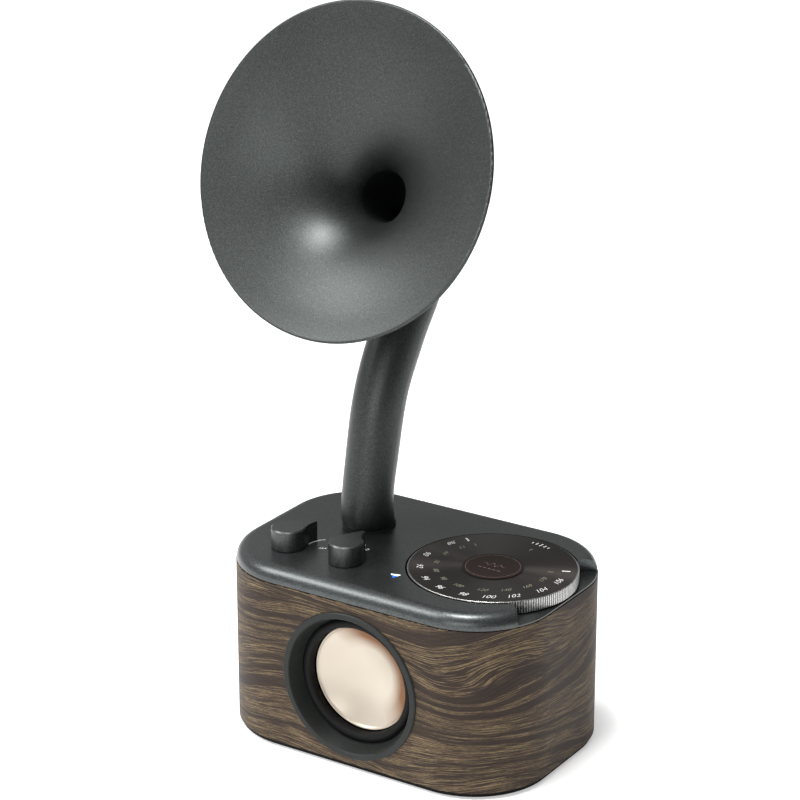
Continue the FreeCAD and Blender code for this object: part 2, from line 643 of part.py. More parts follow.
at_neck(ring("horn_gasket", "collar_radius", "spigot_radius", "deck_top", "deck_top + collar_height"))
nut_prism = doc.addObject("Part::Prism", "nut_prism")
nut_prism.Polygon = 6
bind(nut_prism, "Circumradius", "nut_across")
bind(nut_prism, "Height", "nut_height")
place(nut_prism, "horn_x", "neck_y", "%s - nut_height" % CONTROL_TOP)
nut_bore = cylinder("nut_bore", "spigot_radius", "4 * nut_height", "horn_x", "neck_y",
                    "%s - 2 * nut_height" % CONTROL_TOP)
node(cut(nut_prism, nut_bore, "horn_nut"), "horn_nut")
at_neck(turned("horn_unit", [("0", "spigot_low - unit_height"), ("unit_radius", "spigot_low - unit_height"),
                             ("unit_radius", "spigot_low - 2"), ("spigot_radius", "spigot_low"),
                             ("spigot_bore", "spigot_low"), ("spigot_bore", "spigot_low - unit_height / 2"),
                             ("0", "spigot_low - unit_height / 2")]))
at_neck(disc("horn_unit_magnet", "unit_magnet", "spigot_low - unit_height - unit_magnet_height",
             "spigot_low - unit_height"))

# ---- front driver -------------------------------------------------------------------------------
# Each piece is turned about its own axis, which is then laid along the front: height 0 is the
# cabinet's front face and the height grows outwards.

def at_front(body):
    body.Placement = FreeCAD.Placement(FreeCAD.Vector(), TO_FRONT)
    place(body, "0", "-cabinet_depth / 2", "driver_z")
    return body


at_front(turned("driver_bezel", [
    ("opening_radius - 0.2", "-bezel_seat"), ("bezel_radius", "-bezel_seat"),
    ("bezel_radius", "bezel_proud - 0.5"), ("bezel_radius - 0.5", "bezel_proud"),
    ("bezel_inner + 0.4", "bezel_proud"), ("bezel_inner", "bezel_proud - 0.4"),
    ("bezel_throat", "-bezel_deep"), ("opening_radius - 0.2", "-bezel_deep")]))
at_front(turned("driver_surround", [
    ("surround_inner", "-surround_low"), ("surround_leg", "-surround_low"),
    ("surround_leg", "-surround_seat", "surround_crest - 0.2"), ("surround_foot", "-surround_seat"),
    ("bezel_inner", "-surround_seat"), ("bezel_inner", "-surround_seat + surround_skin"),
    ("surround_foot + 0.4", "-surround_seat + surround_skin", "-surround_crest"),
    ("surround_inner", "-surround_seat + surround_skin")]))
basket = at_front(turned("driver_basket", [
    ("basket_inner", "-flange_front"), ("flange_radius", "-flange_front"),
    ("flange_radius", "-flange_front - basket_wall"),
    ("flange_radius - 3.2", "-flange_front - basket_wall"),
    ("basket_neck", "-spider_front - 2"), ("basket_neck", "-top_plate_front"),
    ("basket_bore", "-top_plate_front"), ("basket_bore", "-top_plate_front + basket_floor"),
    ("ledge_radius", "-top_plate_front + basket_floor"), ("ledge_radius", "-spider_front - ledge_drop"),
    ("spider_rim + 0.4", "-spider_front - ledge_drop"),
    ("basket_inner + 1.8", "-flange_front - basket_wall"),
    ("basket_inner", "-flange_front - basket_wall")]))
window_sketch = new_sketch(basket, "XY_Plane", "-flange_front - 3.5")
WINDOW_COUNT = 6
for index in range(WINDOW_COUNT):
    draw_circle(window_sketch, "window_radius", "window_reach * cos(%d * %s)" % (60 * index + 30, DEGREE),
                "window_reach * sin(%d * %s)" % (60 * index + 30, DEGREE))
pocket(basket, window_sketch, "9")
ear_sketch = new_sketch(basket, "XY_Plane", "-flange_front")
for index in range(4):
    draw_outline(ear_sketch, [corner for corner in (
        ("(ear_reach + ear_radius) * cos(%d * %s)" % (90 * index + 45 + turn, DEGREE),
         "(ear_reach + ear_radius) * sin(%d * %s)" % (90 * index + 45 + turn, DEGREE)) for turn in (-5, 5))]
        + [("34 * cos(%d * %s)" % (90 * index + 45 + turn, DEGREE),
            "34 * sin(%d * %s)" % (90 * index + 45 + turn, DEGREE)) for turn in (10, -10)])
pad(basket, ear_sketch, "1.5", down=True)
flange_sketch = new_sketch(basket, "XY_Plane", "-flange_front")
for index in range(4):
    draw_circle(flange_sketch, "screw_radius", "ear_reach * cos(%d * %s)" % (90 * index + 45, DEGREE),
                "ear_reach * sin(%d * %s)" % (90 * index + 45, DEGREE))
pocket(basket, flange_sketch, "3")
WAVE_RADII = ("spider_bore + 2.7", "spider_bore + 4.7", "spider_bore + 6.7", "spider_bore + 8.7")
spider_top = [("spider_bore", "-spider_front")]
spider_low = [("spider_bore", "-spider_front - spider_skin")]
for index, radius in enumerate(WAVE_RADII):
    crest = "-spider_front + spider_wave" if index % 2 == 0 else "-spider_front - spider_skin"
    spider_top.append((radius, crest))
    spider_low.append((radius, crest + " - spider_skin"))
spider_top.append(("spider_rim", "-spider_front - ledge_drop + spider_skin"))
spider_low.append(("spider_rim", "-spider_front - ledge_drop"))
at_front(turned("driver_spider", spider_top + spider_low[::-1]))


def bowl_line(drop):
    """The bowl's section from the middle to the edge, as short straight runs along a parabola."""
    runs = 8
    line = []
    for index in range(runs + 1):
        share = "(%d / %d)" % (index, runs)
        line.append(("dish_radius * " + share, "-dish_front - dish_hollow * (1 - %s^2) - %s" % (share, drop)))
    return line


bowl_corners = bowl_line("0") + [("dish_edge", "-dish_front"), ("dish_edge", "-dish_front - dish_thick")]
bowl_corners += reversed(bowl_line("dish_thick"))
at_front(turned("diaphragm", bowl_corners))
at_front(ring("voice_coil", "coil_radius + coil_wall / 2", "coil_radius - coil_wall / 2", "-coil_low",
              "-dish_front - dish_thick - dish_hollow * 0.76"))
at_front(ring("driver_top_plate", "24", "13.2", "-magnet_front", "-top_plate_front"))
at_front(ring("driver_magnet", "magnet_radius", "15", "-magnet_back", "-magnet_front"))
at_front(turned("driver_back_plate", [
    ("0", "-back_plate_back"), ("magnet_radius - 2", "-back_plate_back"),
    ("magnet_radius - 2", "-magnet_back"),
    ("pole_radius", "-magnet_back"), ("pole_radius", "-top_plate_front"), ("0", "-top_plate_front")]))
TO_BACK = FreeCAD.Rotation(FreeCAD.Vector(1, 0, 0), 90)
EAR_SCREWS = [("ear_reach * cos(%d * %s)" % (90 * index + 45, DEGREE),
               "-cabinet_depth / 2 + flange_front + basket_wall + screw_head - screw_radius",
               "driver_z + ear_reach * sin(%d * %s)" % (90 * index + 45, DEGREE)) for index in range(4)]
screws("driver_screws", EAR_SCREWS, "0", "7", lean=TO_BACK)

# ---- inside: board, aerial rod, sockets ---------------------------------------------------------

BOARD_Y = "16"
SPACER_LOW = "(cabinet_low + plug_rise)"
node(box("main_board", "board_length", "board_width", "board_thick",
         "-board_length / 2", "%s - board_width / 2" % BOARD_Y, "board_low"), "main_board")
spacers = [cylinder("spacer_%d_%d" % (sx + 1, sy + 1), "spacer_radius", "board_low - %s" % SPACER_LOW,
                    "%d * (board_length / 2 - 5)" % sx, "%s + %d * (board_width / 2 - 5)" % (BOARD_Y, sy),
                    SPACER_LOW)
           for sx, sy in SCREW_SPOTS]
node(group(spacers, "board_spacers"), "board_spacers")
BOARD_TOP = "(board_low + board_thick)"
# Each part's length, width and height, then the x and y of its nearest corner.
chips = [box(label, length, width, height, x, y, BOARD_TOP) for label, length, width, height, x, y in (
    ("tuner_chip", "10", "10", "2", "15", "10"), ("amplifier_chip", "14", "8", "3", "-20", "5"),
    ("heat_sink", "24", "10", "16", "-30", "26"), ("cable_header", "16", "5", "6", "20", "-8"))]
for index in range(3):
    can_x = "%d" % (-40 + 10 * index)
    chips.append(cylinder("smoothing_can_%d" % index, "4", "12", can_x, "-4", BOARD_TOP))
node(group(chips, "board_parts"), "board_parts")
ferrite_rod = cylinder("ferrite_rod", "rod_radius", "rod_length", "-rod_length / 2", "rod_y", "rod_z", TO_RIGHT)
node(ferrite_rod, "ferrite_rod")
clips = []
for side in (-1, 1):
    clip = box("clip_block_%d" % (side + 1), "5", "cabinet_depth / 2 - cabinet_wall - rod_y + 6", "12",
               "%d * 28 - 2.5" % side, "rod_y - 6", "rod_z - 6")
    clip_bore = cylinder("clip_bore_%d" % (side + 1), "rod_radius", "10", "%d * 28 - 5" % side,
                         "rod_y", "rod_z", TO_RIGHT)
    clips.append(cut(clip, clip_bore, "clip_%d" % (side + 1)))
node(group(clips, "rod_clips"), "rod_clips")

jack_back = "cabinet_depth / 2"
plate_block = box("plate_block", "jack_width", "jack_thick", "jack_height", "-jack_width / 2", jack_back,
                  "jack_z - jack_height / 2")
SOCKETS = (("dc_inlet", "-9", "5.2", "3.2"), ("aux_jack", "9", "4", "1.8"))
holes = [cylinder(name + "_way", radius, "30", x, "cabinet_depth / 2 + 10", "jack_z", TO_FRONT)
         for name, x, radius, bore in SOCKETS]
PLATE_SCREWS = [("%d * (jack_width / 2 - screw_head)" % side,
                 "cabinet_depth / 2 + jack_thick + screw_head - screw_radius", "jack_z") for side in (-1, 1)]
holes += [cylinder("plate_screw_way_%d" % index, "screw_radius", "30", x, "cabinet_depth / 2 + 10", z,
                   TO_FRONT)
          for index, (x, y, z) in enumerate(PLATE_SCREWS)]
node(cut(plate_block, fuse(holes, "plate_holes"), "jack_plate"), "jack_plate")
screw_holes = new_sketch(cabinet_shell, "XZ_Plane", "-cabinet_depth / 2 + cabinet_wall")
for x, y, z in PLATE_SCREWS:
    draw_circle(screw_holes, "screw_radius", x, z)
pocket(cabinet_shell, screw_holes, "cabinet_wall")
driver_holes = new_sketch(cabinet_shell, "XZ_Plane", "cabinet_depth / 2 - cabinet_wall")
for index in range(4):
    draw_circle(driver_holes, "screw_radius", "ear_reach * cos(%d * %s)" % (90 * index + 45, DEGREE),
                "driver_z + ear_reach * sin(%d * %s)" % (90 * index + 45, DEGREE))
pocket(cabinet_shell, driver_holes, "5", up=True)
screws("plate_screws", PLATE_SCREWS, "0", "8", lean=TO_FRONT)
for name, x, radius, bore in SOCKETS:
    lip = "cabinet_depth / 2 + jack_thick + 0.5"
    barrel = cylinder(name + "_barrel", radius, "14", x, lip, "jack_z", TO_FRONT)
    mouth = cylinder(name + "_mouth", bore, "9", x, lip, "jack_z", TO_FRONT)
    node(cut(barrel, mouth, name), name)

# ---- check and write ----------------------------------------------------------------------------

doc.recompute()
failed = [item.Name for item in doc.Objects if {"Invalid", "Error"} & set(item.State)]
if failed:
    raise RuntimeError("failed objects: %s" % failed)
for item in NODES:
    if item.Shape.isNull() or not item.Shape.isValid():
        raise RuntimeError("bad shape: " + item.Label)
os.makedirs("parts", exist_ok=True)
for item in NODES:
    item.Shape.exportStep("parts/%s.step" % item.Label)
    bounds = item.Shape.BoundBox
    print("%-20s solids %2d volume %9.1f  x %.1f %.1f  y %.1f %.1f  z %.1f %.1f" % (
        item.Label, len(item.Shape.Solids), item.Shape.Volume, bounds.XMin, bounds.XMax,
        bounds.YMin, bounds.YMax, bounds.ZMin, bounds.ZMax))
print(len(NODES), "pieces")
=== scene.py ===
import bpy
import bmesh
import math
from mathutils import Matrix, Vector


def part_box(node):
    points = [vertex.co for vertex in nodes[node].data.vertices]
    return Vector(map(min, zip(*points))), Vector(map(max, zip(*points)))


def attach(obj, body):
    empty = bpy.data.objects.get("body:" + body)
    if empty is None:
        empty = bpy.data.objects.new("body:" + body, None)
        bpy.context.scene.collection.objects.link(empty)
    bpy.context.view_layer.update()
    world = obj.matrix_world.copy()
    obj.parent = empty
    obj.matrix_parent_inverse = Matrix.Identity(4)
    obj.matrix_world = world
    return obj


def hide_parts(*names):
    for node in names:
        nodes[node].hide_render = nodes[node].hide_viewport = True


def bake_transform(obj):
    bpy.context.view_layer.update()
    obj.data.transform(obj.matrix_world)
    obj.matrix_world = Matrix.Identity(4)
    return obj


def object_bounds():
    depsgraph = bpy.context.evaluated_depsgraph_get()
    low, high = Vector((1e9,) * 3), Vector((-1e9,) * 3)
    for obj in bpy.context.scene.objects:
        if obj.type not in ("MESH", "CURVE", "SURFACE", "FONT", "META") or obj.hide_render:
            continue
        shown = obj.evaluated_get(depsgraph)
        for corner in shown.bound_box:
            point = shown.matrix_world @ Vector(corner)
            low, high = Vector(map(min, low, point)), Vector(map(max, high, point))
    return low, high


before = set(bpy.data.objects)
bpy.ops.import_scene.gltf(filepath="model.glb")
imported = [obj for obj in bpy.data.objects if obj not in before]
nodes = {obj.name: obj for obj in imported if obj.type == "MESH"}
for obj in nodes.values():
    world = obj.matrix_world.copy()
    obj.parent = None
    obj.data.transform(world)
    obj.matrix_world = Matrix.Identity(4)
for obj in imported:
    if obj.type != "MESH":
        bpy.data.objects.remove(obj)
cad_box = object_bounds()
MM = 0.001

# ---- places taken from the model ----


def centre_of(node):
    low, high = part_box(node)
    return (Vector(low) + Vector(high)) / 2


DIAL = centre_of("dial_face")
DIAL_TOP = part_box("dial_face")[1][2]
DECK_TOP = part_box("top_cover")[1][2]
DRIVER = centre_of("driver_bezel")
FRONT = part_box("cabinet_shell")[0][1]
KNOBS = [centre_of("volume_shaft"), centre_of("function_shaft")]

# ---- camera ----
AZ, EL, DIST = math.radians(32.95), math.radians(20.14), 1.34303
TARGET = Vector((-0.04466, 0.05505, 0.13992))
back = Vector((math.sin(AZ) * math.cos(EL), -math.cos(AZ) * math.cos(EL), math.sin(EL)))
right = Vector((math.cos(AZ), math.sin(AZ), 0))
up = back.cross(right)
camera_data = bpy.data.cameras.new("camera")
camera = bpy.data.objects.new("camera", camera_data)
bpy.context.scene.collection.objects.link(camera)
aim = Matrix((right, up, back)).transposed().to_4x4()
camera.matrix_world = Matrix.Translation(TARGET + back * DIST) @ aim
camera_data.lens = 123.64
camera_data.sensor_width = 36
camera_data.clip_end = 20
bpy.context.scene.camera = camera

# ---- materials ----


def linear(text):
    """A colour written as six hex digits, as the shader's linear colour."""
    parts = [int(text[i:i + 2], 16) / 255 for i in (0, 2, 4)]
    return [((p + 0.055) / 1.055) ** 2.4 if p > 0.04045 else p / 12.92 for p in parts] + [1]


class Finish:
    """One node material built round a Principled shader. Lengths are in metres."""

    def __init__(self, name, metallic=0.0, **sockets):
        self.material = bpy.data.materials.new(name)
        self.material.use_nodes = True
        self.tree = self.material.node_tree
        self.shader = self.tree.nodes["Principled BSDF"]
        self.shader.inputs["Metallic"].default_value = metallic
        for socket, value in sockets.items():
            self.shader.inputs[socket.replace("_", " ")].default_value = value
        self.place = self.add("TexCoord").outputs["Object"]

    def add(self, kind, values=None, **settings):
        node = self.tree.nodes.new("ShaderNode" + kind)
        for key, value in settings.items():
            setattr(node, key, value)
        for key, value in (values or {}).items():
            self.feed(node.inputs[key], value)
        return node

    def feed(self, socket, value):
        if isinstance(value, bpy.types.NodeSocket):
            self.tree.links.new(value, socket)
        else:
            socket.default_value = value

    def math(self, what, *values):
        return self.add("Math", dict(enumerate(values)), operation=what).outputs[0]

    def plus(self, first, second):
        return self.math("ADD", first, second)

    def minus(self, first, second):
        return self.math("SUBTRACT", first, second)

    def times(self, first, second):
        return self.math("MULTIPLY", first, second)

    def blend(self, first, share, second):
        """A share of the first value, and the rest from the second."""
        return self.plus(self.times(first, share), self.times(second, 1 - share))

    def vector(self, what, *values):
        return self.add("VectorMath", dict(enumerate(values)), operation=what).outputs[0]

    def length(self, vector):
        return self.add("VectorMath", {0: vector}, operation="LENGTH").outputs["Value"]

    def axes(self, vector):
        """The vector's x, y and z."""
        return self.add("SeparateXYZ", {"Vector": vector}).outputs[:]

    def at(self, x, y=0.0, z=0.0):
        """A place put together from three values."""
        return self.add("CombineXYZ", {"X": x, "Y": y, "Z": z}).outputs[0]

    def noise(self, scale, place=None, detail=2.0, roughness=0.5):
        return self.add("TexNoise", {"Vector": place or self.place, "Scale": scale, "Detail": detail,
                                     "Roughness": roughness}).outputs["Fac"]

    def span(self, value, low, high, to_low=0.0, to_high=1.0):
        """The value's range from low to high, mapped to another range."""
        return self.add("MapRange", {"Value": value, "From Min": low, "From Max": high,
                                     "To Min": to_low, "To Max": to_high}).outputs["Result"]

    def ramp(self, value, low, dark, high, light):
        """A colour that goes from dark to light as the value goes from low to high."""
        node = self.add("ValToRGB", {"Fac": value})
        for element, place, colour in zip(node.color_ramp.elements, (low, high), (dark, light)):
            element.position = place
            element.color = linear(colour)
        return node.outputs["Color"]

    def mix(self, share, first, second):
        node = self.add("Mix", data_type="RGBA")
        self.feed(node.inputs[0], share)
        self.feed(node.inputs[6], linear(first) if isinstance(first, str) else first)
        self.feed(node.inputs[7], linear(second) if isinstance(second, str) else second)
        return node.outputs[2]

    def colour(self, value):
        self.tree.links.new(value, self.shader.inputs["Base Color"])

    def roughness(self, value, smooth, rough):
        """Smooth where the value is low, rough where it is high."""
        self.tree.links.new(self.span(value, 0.3, 0.7, smooth, rough), self.shader.inputs["Roughness"])

    def bump(self, height, distance, strength=1.0):
        values = {"Height": height, "Distance": distance, "Strength": strength}
        self.tree.links.new(self.add("Bump", values).outputs["Normal"], self.shader.inputs["Normal"])


def coated(name, dark, light, metallic, smooth, rough, grain=0.0005, depth=0.00002, **sockets):
    """A painted, moulded or cast surface: fine grain, slow changes of tone and sheen, rubbed edges."""
    patch, rubbed = 0.03, 2.2
    finish = Finish(name, metallic, **sockets)
    speck = finish.noise(1 / grain, detail=3.0, roughness=0.65)
    cloud = finish.noise(1 / patch, detail=3.0)
    tone = finish.blend(speck, 0.6, cloud)
    base = finish.ramp(tone, 0.35, dark, 0.65, light)
    edge = finish.span(finish.add("NewGeometry").outputs["Pointiness"], 0.52, 0.6, 0.0, 0.35)
    bright = [min(1, part * rubbed) for part in linear(light)[:3]] + [1]
    finish.colour(finish.mix(edge, base, bright))
    finish.roughness(tone, smooth, rough)
    finish.bump(speck, depth)
    return finish.material


def gunmetal(name, dark, light, smooth, rough):
    """Satin metallic paint: sparse bright flakes in a grey coat."""
    finish = Finish(name, 0.85, Coat_Weight=0.08, Coat_Roughness=0.4)
    flake = finish.noise(3600, detail=1.0, roughness=0.4)
    fine = finish.noise(1300)
    cloud = finish.noise(22, detail=3.0)
    tone = finish.blend(fine, 0.75, cloud)
    base = finish.ramp(tone, 0.36, dark, 0.64, light)
    sparkle = finish.span(flake, 0.62, 0.76, 0.0, 0.2)
    finish.colour(finish.mix(sparkle, base, "b4b8b6"))
    finish.roughness(tone, smooth, rough)
    finish.bump(fine, 0.00003, 0.5)
    return finish.material


# Swells in the wood's figure: run, height, half length, half height and rise, in metres.
SWELLS = ((0.056, 0.05, 0.04, 0.014, 0.0125), (-0.075, 0.07, 0.05, 0.014, 0.0125),
          (-0.2, 0.035, 0.06, 0.014, 0.0125), (0.18, 0.055, 0.05, 0.014, -0.0125))


def walnut():
    """Open-pored dark walnut wrapped round the box, its grain level: pale broken pores that follow the
    figure. A point's run is its way round the box from the middle of the front, negative to the left."""
    finish = Finish("walnut_wrap", Specular_IOR_Level=0.2)
    half_flat, half_side, corner = 0.0435, 0.018, 0.039
    x, y, z = finish.axes(finish.place)
    side = finish.math("ABSOLUTE", x)
    inner_x = finish.math("MINIMUM", side, half_flat)
    inner_y = finish.math("MINIMUM", finish.math("MAXIMUM", y, -half_side), half_side)
    turn = finish.math("ARCTAN2", finish.minus(side, inner_x), finish.times(finish.minus(y, inner_y), -1.0))
    behind = finish.math("GREATER_THAN", y, 0.0)
    along_front = finish.times(inner_x, finish.minus(1.0, behind))
    along_back = finish.times(finish.minus(2 * half_flat, inner_x), behind)
    flats = finish.plus(finish.plus(along_front, along_back), inner_y)
    way = finish.math("MULTIPLY_ADD", turn, corner, flats)
    run = finish.times(finish.plus(way, half_side), finish.math("SIGN", x))

    def grain(per_metre, layer, height, detail, roughness=0.5):
        """Noise with its own scale along the run. Each layer is a slice of its own."""
        return finish.noise(1.0, finish.at(finish.times(run, per_metre), layer, height), detail, roughness)

    # The figure's level curves: wavy lines along the run, pushed up into arches at the swells.
    bend_height, ripple_height = 0.044, 0.0014
    bend = grain(9.0, 3.1, finish.times(z, 14.0), 1.0, 0.4)
    ripple = grain(70.0, 8.4, finish.times(z, 110.0), 2.0)
    level = finish.math("MULTIPLY_ADD", finish.minus(bend, 0.5), bend_height, z)
    level = finish.math("MULTIPLY_ADD", finish.minus(ripple, 0.5), ripple_height, level)
    for swell_run, swell_height, half_length, half_height, rise in SWELLS:
        off_run = finish.math("DIVIDE", finish.minus(run, swell_run), half_length)
        off_height = finish.math("DIVIDE", finish.minus(z, swell_height), half_height)
        reach = finish.plus(finish.times(off_run, off_run), finish.times(off_height, off_height))
        swell = finish.math("EXPONENT", finish.times(reach, -1.0))
        level = finish.math("MULTIPLY_ADD", swell, rise, level)
    # Year rings, in bands with and without open pores, then the pores, broken up by flecks.
    ring = grain(5.0, 1.7, finish.times(level, 210.0), 3.0, 0.6)
    pore = grain(62.0, 5.2, finish.plus(finish.times(z, 600.0), finish.times(level, 3500.0)), 2.0, 0.6)
    fleck = grain(500.0, 9.0, finish.times(z, 1500.0), 2.0)
    band = finish.span(ring, 0.42, 0.5)
    streak = finish.times(finish.span(pore, 0.5, 0.58), finish.math("MULTIPLY_ADD", band, 0.82, 0.14))
    streak = finish.times(streak, finish.span(fleck, 0.32, 0.6, 0.45, 1.0))
    ground = finish.mix(finish.span(ring, 0.35, 0.65), "241a16", "30241d")
    finish.colour(finish.mix(streak, ground, "77664b"))
    finish.roughness(pore, 0.5, 0.68)
    finish.bump(finish.times(pore, band), 0.00008, 0.6)
    return finish.material


def turned_face(name, dark, light, centre, groove, metallic, rough, stretch):
    """A face turned on a lathe: grooves round the centre that stretch the reflections across them."""
    finish = Finish(name, metallic, Anisotropic=stretch)
    offset = finish.vector("SUBTRACT", finish.add("NewGeometry").outputs["Position"], tuple(centre))
    flat = finish.vector("MULTIPLY", offset, (1, 1, 0))
    reach = finish.length(flat)
    around = finish.vector("NORMALIZE", finish.vector("CROSS_PRODUCT", (0, 0, 1), flat))
    finish.tree.links.new(around, finish.shader.inputs["Tangent"])
    cut = finish.noise(1.0, finish.at(finish.math("DIVIDE", reach, groove)))
    cloud = finish.noise(40, detail=3.0)
    finish.colour(finish.ramp(finish.blend(cut, 0.6, cloud), 0.36, dark, 0.64, light))
    finish.roughness(cut, rough - 0.05, rough + 0.08)
    finish.bump(cut, 0.00002, 0.35)
    return finish.material


def satin_dish(name, dark, light, edge):
    """Satin champagne foil, with painted warm shade where the bowl turns up to its edge at the top right."""
    finish = Finish(name, 0.3, Coat_Weight=0.1, Coat_Roughness=0.25)
    top_right = (0.8, 0.0, 0.6)
    offset = finish.vector("SUBTRACT", finish.place, tuple(DRIVER))
    reach = finish.length(finish.vector("MULTIPLY", offset, (1, 0, 1)))
    corner = finish.add("VectorMath", {0: offset, 1: top_right}, operation="DOT_PRODUCT").outputs["Value"]
    # Painted shade: a warm crescent near the rim at the top right, mixed in with the edge colour, standing
    # for the bezel's shadow and the bowl's reflection of itself.
    warm_painted_shade = finish.times(finish.span(reach, 0.013, 0.02), finish.span(corner, -0.002, 0.012, 0.05, 0.95))
    cloud = finish.noise(28)
    finish.colour(finish.mix(warm_painted_shade, finish.ramp(cloud, 0.35, dark, 0.65, light), edge))
    finish.roughness(cloud, 0.3, 0.38)
    finish.bump(finish.noise(1400), 0.00001, 0.5)
    return finish.material


def knurled(name, centre, count, dark, light):
    """Bright metal cut with upright grooves round a centre, with painted shade lying in the grooves of its
    side.
    """
    finish = Finish(name, 1.0)
    x, y, z = finish.axes(finish.place)
    turn = finish.math("ARCTAN2", finish.minus(y, centre.y), finish.minus(x, centre.x))
    wave = finish.math("COSINE", finish.times(turn, float(count)))
    facing_up = finish.math("ABSOLUTE", finish.axes(finish.add("NewGeometry").outputs["Normal"])[2])
    on_side = finish.span(facing_up, 0.3, 0.6, 0.85, 0.0)
    # Painted shade: dark stripes in the side's grooves, standing in for the grooves' own shading, which the
    # smooth normals lose.
    groove = finish.times(finish.span(wave, -0.6, 0.5, 1.0, 0.0), on_side)
    worn = finish.noise(900, detail=3.0)
    # The dark grey mixed in here is the painted groove shade.
    finish.colour(finish.mix(groove, finish.ramp(worn, 0.35, dark, 0.65, light), "2e2e2e"))
    finish.roughness(worn, 0.26, 0.4)
    finish.bump(worn, 0.00002, 0.5)
    return finish.material


def glowing(name, front, rear, strength):
    """A lit lens: one colour at its front edge, and another from the middle to the rear."""
    finish = Finish(name, Emission_Strength=strength)
    box_low, box_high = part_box("led_window")
    depth = finish.span(finish.axes(finish.place)[1], box_low[1], box_high[1])
    uneven = finish.times(finish.noise(900), 0.15)
    glow = finish.ramp(finish.plus(depth, uneven), 0.58, front, 0.78, rear)
    finish.colour(glow)
    finish.tree.links.new(glow, finish.shader.inputs["Emission Color"])
    finish.roughness(finish.noise(1500), 0.25, 0.4)
    return finish.material


COVER_PAINT = gunmetal("cover_paint", "3c3f3f", "525555", 0.28, 0.38)
# The horn takes a darker copy of the cover's gunmetal. This is painted shade, so that the same paint reads
# dimmer on the horn.
SHADED_HORN_PAINT = gunmetal("horn_paint_shaded", "343736", "404342", 0.38, 0.46)
KNOB_PAINT = gunmetal("knob_paint", "3f4241", "525554", 0.3, 0.4)
WOOD = walnut()
SILVER = knurled("ring_silver", DIAL, 200, "a8a8a6", "c4c4c2")
DIAL_BLACK = turned_face("dial_black", "2a2624", "3d3836", DIAL, 0.0004, 0.85, 0.36, 0.9)
LABEL_BROWN = coated("label_brown", "100705", "190c08", 0.0, 0.5, 0.6, grain=0.0006, Specular_IOR_Level=0.2)
BEZEL = coated("bezel_black", "161817", "212423", 0.1, 0.42, 0.52, grain=0.0006, Specular_IOR_Level=0.2)
RUBBER = coated("soft_rubber", "0b0b0b", "151515", 0.0, 0.6, 0.72, grain=0.0006, Specular_IOR_Level=0.15)
# The dish's last colour is the painted warm shade of its crescent at the top right of the rim.
DISH = satin_dish("champagne_dish", "c6bbab", "d0c6b7", "7d4f26")
BLACK = coated("base_black", "050505", "0c0c0c", 0.0, 0.6, 0.75, Specular_IOR_Level=0.1)
GASKET = coated("gasket_black", "0a0a0a", "141414", 0.0, 0.6, 0.75)
STEEL = coated("steel", "8d8f92", "a9abad", 1.0, 0.25, 0.4)
SCREW = coated("blackened_steel", "2a2b2d", "3a3b3d", 0.9, 0.35, 0.5)
ZINC = coated("zinc_plate", "a7a69c", "bdbcb2", 1.0, 0.3, 0.45)
CASE = coated("unit_case", "23262a", "30343a", 0.3, 0.4, 0.55)
FERRITE = coated("ferrite", "26262a", "35353a", 0.1, 0.45, 0.6, grain=0.0009)
CLOTH = coated("spider_cloth", "8a6d3c", "a98a55", 0.0, 0.75, 0.9, grain=0.0007, depth=0.0001)
BOARD = coated("board_green", "1d4a2c", "2a6038", 0.0, 0.3, 0.42, grain=0.0012)
CHIP = coated("board_parts", "1c1c1e", "2d2d30", 0.1, 0.4, 0.55)
PLASTIC = coated("white_plastic", "c9c7c0", "dcdad3", 0.0, 0.4, 0.5)
SPACER = coated("brass_spacer", "a8863f", "c4a157", 1.0, 0.28, 0.4)
SOCKET = coated("socket_black", "161618", "242427", 0.0, 0.35, 0.5)
COPPER = coated("coil_copper", "a8552a", "c87344", 1.0, 0.3, 0.42)
HUB = coated("hub_plastic", "35373a", "46484b", 0.0, 0.45, 0.55)
LENS = glowing("lamp_glow", "1558d8", "eef5ff", 0.9)
PRINT = coated("print_white", "b4b6b3", "cccdca", 0.0, 0.5, 0.6, grain=0.0004)
PRINT_DIM = coated("print_olive", "5b5a49", "6d6b57", 0.0, 0.5, 0.6, grain=0.0004)
PRINT_BROWN = coated("print_tan", "54443b", "625248", 0.0, 0.5, 0.6, grain=0.0004)

FINISHES = {
    "cabinet_shell": WOOD, "top_cover": COVER_PAINT, "horn_bell": SHADED_HORN_PAINT, "horn_neck": SHADED_HORN_PAINT,
    "volume_knob": KNOB_PAINT, "function_knob": KNOB_PAINT, "horn_gasket": GASKET, "seam_gasket": GASKET,
    "base_pad": BLACK, "base_plate": BLACK, "base_screws": SCREW, "driver_screws": SCREW,
    "plate_screws": SCREW,
    "led_window": LENS, "led_lamp": LENS, "tuning_pot": CASE, "volume_pot": CASE, "function_switch": CASE,
    "horn_nut": ZINC, "horn_unit": CASE, "horn_unit_magnet": FERRITE, "driver_bezel": BEZEL,
    "driver_basket": BLACK, "driver_spider": CLOTH, "driver_top_plate": ZINC, "driver_magnet": FERRITE,
    "driver_back_plate": ZINC, "main_board": BOARD, "board_spacers": SPACER, "board_parts": CHIP,
    "ferrite_rod": FERRITE, "rod_clips": PLASTIC, "jack_plate": BEZEL, "dc_inlet": SOCKET, "aux_jack": SOCKET,
    "dial_ring": SILVER, "dial_face": DIAL_BLACK, "dial_label": LABEL_BROWN, "dial_hub": HUB,
    "dial_spindle": STEEL, "volume_shaft": STEEL, "function_shaft": STEEL, "diaphragm": DISH,
    "voice_coil": COPPER, "driver_surround": RUBBER,
}
for name, material in FINISHES.items():
    slots = nodes[name].data.materials
    slots.clear()
    slots.append(material)

# ---- pieces made here ----


